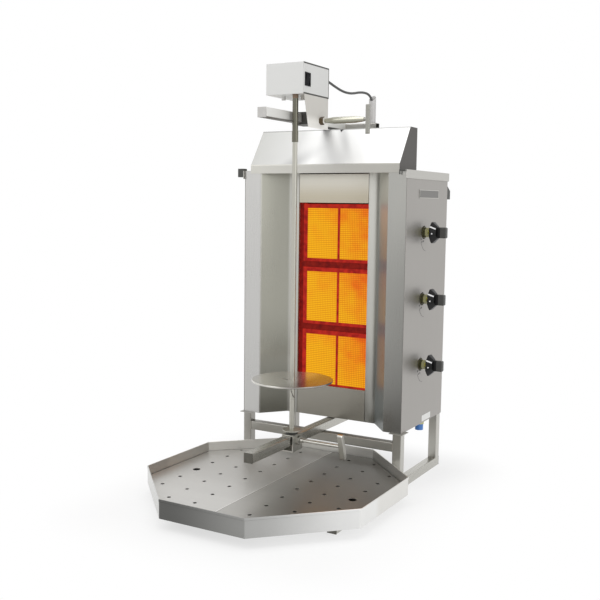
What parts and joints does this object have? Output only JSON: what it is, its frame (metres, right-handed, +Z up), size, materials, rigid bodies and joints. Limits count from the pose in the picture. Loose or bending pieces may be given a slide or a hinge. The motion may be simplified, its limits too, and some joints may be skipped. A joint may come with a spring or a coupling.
{
  "type": "doner kebab grill",
  "caption": "Upright gas grill with a folded burner recess, a motor-driven vertical spit on sliding carriages, and an octagonal drip tray.",
  "frame": {"origin": "centre of the object's outline at the floor", "axes": "+Z up; the burners face -Y; the knobs are on +X"},
  "size_m": [0.6274, 0.875, 1.117],
  "materials": {
    "casing_steel": "brushed stainless sheet",
    "hood_steel": "bright stainless sheet",
    "tube_steel": "satin stainless tube",
    "spit_steel": "polished stainless bar",
    "tray_steel": "satin stainless sheet",
    "motor_paint": "pale grey paint",
    "carriage_paint": "beige grey paint",
    "dark_metal": "dark",
    "ceramic": null,
    "burner_steel": "heat-coloured steel",
    "brass": "turned",
    "gas_pipe": "galvanised",
    "knob_plastic": "glossy black",
    "plug_plastic": "pale",
    "cap_plastic": "blue",
    "switch_plastic": "black",
    "cable_rubber": "dark grey sheath",
    "motor_metal": "cast"
  },
  "bodies": {
    "root": {"left_side_panel": "casing_steel", "right_side_panel": "casing_steel", "back_panel": "casing_steel", "base_pan": "casing_steel", "left_front_wing": "casing_steel", "right_front_wing": "casing_steel", "upper_front_panel": "casing_steel", "lower_front_panel": "casing_steel", "lid": "casing_steel", "heat_hood": "hood_steel", "left_floor_rail": "tube_steel", "right_floor_rail": "tube_steel", "legs": "tube_steel", "front_cross_tube": "tube_steel", "lower_arm": "tube_steel", "upper_arm": "tube_steel", "rear_gallows": "tube_steel", "cable_post": "tube_steel", "rear_spacers": "tube_steel", "tube_end_plugs": "plug_plastic", "lid_side_block": "dark_metal", "name_plate": "dark_metal", "burner_rails": "burner_steel", "burner_housings": "burner_steel", "upper_burner_frame": "burner_steel", "middle_burner_frame": "burner_steel", "lower_burner_frame": "burner_steel", "upper_ceramic_tiles": "ceramic", "middle_ceramic_tiles": "ceramic", "lower_ceramic_tiles": "ceramic", "gas_manifold": "gas_pipe", "burner_feed_pipes": "gas_pipe", "gas_taps": "brass", "gas_inlet": "brass", "inlet_cap": "cap_plastic"},
    "lower_carriage": {"lower_carriage_clamp": "spit_steel", "spit_bearing_cup": "motor_metal"},
    "spit": {"spit_rod": "spit_steel", "spit_disc": "spit_steel"},
    "lower_lock": {"lower_clamping_handle": "spit_steel"},
    "motor_carriage": {"motor_carriage_plate": "carriage_paint", "upper_arm_slider": "carriage_paint", "motor_cover": "motor_paint", "motor_side_cover": "motor_paint", "gear_motor": "motor_metal", "switch_housing": "switch_plastic", "motor_cable": "cable_rubber"},
    "drive": {"drive_coupling": "carriage_paint", "drive_sleeve": "spit_steel"},
    "upper_lock": {"upper_clamping_handle": "carriage_paint"},
    "rocker": {"switch_rocker": "switch_plastic"},
    "tray": {"drip_tray": "tray_steel"},
    "left_plate": {"left_drip_plate": "tray_steel"},
    "right_plate": {"right_drip_plate": "tray_steel"},
    "upper_push": {"upper_tap_collar": "brass"},
    "upper_turn": {"upper_knob": "knob_plastic"},
    "middle_push": {"middle_tap_collar": "brass"},
    "middle_turn": {"middle_knob": "knob_plastic"},
    "lower_push": {"lower_tap_collar": "brass"},
    "lower_turn": {"lower_knob": "knob_plastic"}
  },
  "joints": [
    {"name": "lower_carriage_slide", "type": "slide", "parent": "root", "child": "lower_carriage", "axis": [0, 1, 0], "range_m": [-0.08, 0.06]},
    {"name": "spit_turn", "type": "hinge", "parent": "lower_carriage", "child": "spit", "pos_m": [-0.00125, -0.0285, 0.1565], "axis": [0, 0, 1], "continuous": true},
    {"name": "lower_lock_turn", "type": "hinge", "parent": "lower_carriage", "child": "lower_lock", "pos_m": [0.01725, -0.0285, 0.1405], "axis": [1, 0, 0], "range_deg": [0, 180]},
    {"name": "motor_carriage_slide", "type": "slide", "parent": "root", "child": "motor_carriage", "axis": [0, 1, 0], "range_m": [-0.08, 0.06], "deforming": ["motor_cable"]},
    {"name": "drive_turn", "type": "hinge", "parent": "motor_carriage", "child": "drive", "pos_m": [-0.00125, -0.0285, 1.042], "axis": [0, 0, 1], "continuous": true},
    {"name": "upper_lock_turn", "type": "hinge", "parent": "motor_carriage", "child": "upper_lock", "pos_m": [0.02875, 0.0495, 0.977], "axis": [1, 0, 0], "range_deg": [0, 180]},
    {"name": "rocker_tilt", "type": "hinge", "parent": "motor_carriage", "child": "rocker", "pos_m": [0.02675, -0.0205, 1.075], "axis": [0, 1, 0], "range_deg": [-16, 0]},
    {"name": "tray_slide", "type": "slide", "parent": "root", "child": "tray", "axis": [0, -1, 0], "range_m": [0, 0.12]},
    {"name": "left_plate_lift", "type": "slide", "parent": "tray", "child": "left_plate", "axis": [0, 0, 1], "range_m": [0, 0.03]},
    {"name": "right_plate_lift", "type": "slide", "parent": "tray", "child": "right_plate", "axis": [0, 0, 1], "range_m": [0, 0.03]},
    {"name": "upper_knob_push", "type": "slide", "parent": "root", "child": "upper_push", "axis": [-1, 0, 0], "range_m": [0, 0.003], "stiffness_N_per_m": 1500, "springref_m": -0.002},
    {"name": "upper_knob_turn", "type": "hinge", "parent": "upper_push", "child": "upper_turn", "pos_m": [0.27845, 0.2435, 0.6882], "axis": [1, 0, 0], "range_deg": [0, 210]},
    {"name": "middle_knob_push", "type": "slide", "parent": "root", "child": "middle_push", "axis": [-1, 0, 0], "range_m": [0, 0.003], "stiffness_N_per_m": 1500, "springref_m": -0.002},
    {"name": "middle_knob_turn", "type": "hinge", "parent": "middle_push", "child": "middle_turn", "pos_m": [0.27845, 0.2435, 0.5067], "axis": [1, 0, 0], "range_deg": [0, 210]},
    {"name": "lower_knob_push", "type": "slide", "parent": "root", "child": "lower_push", "axis": [-1, 0, 0], "range_m": [0, 0.003], "stiffness_N_per_m": 1500, "springref_m": -0.002},
    {"name": "lower_knob_turn", "type": "hinge", "parent": "lower_push", "child": "lower_turn", "pos_m": [0.27845, 0.2435, 0.3252], "axis": [1, 0, 0], "range_deg": [0, 210]}
  ],
  "couplings": [
    {"joint": "lower_carriage_slide", "follows": "motor_carriage_slide", "ratio": 1},
    {"joint": "drive_turn", "follows": "spit_turn", "ratio": 1}
  ]
}
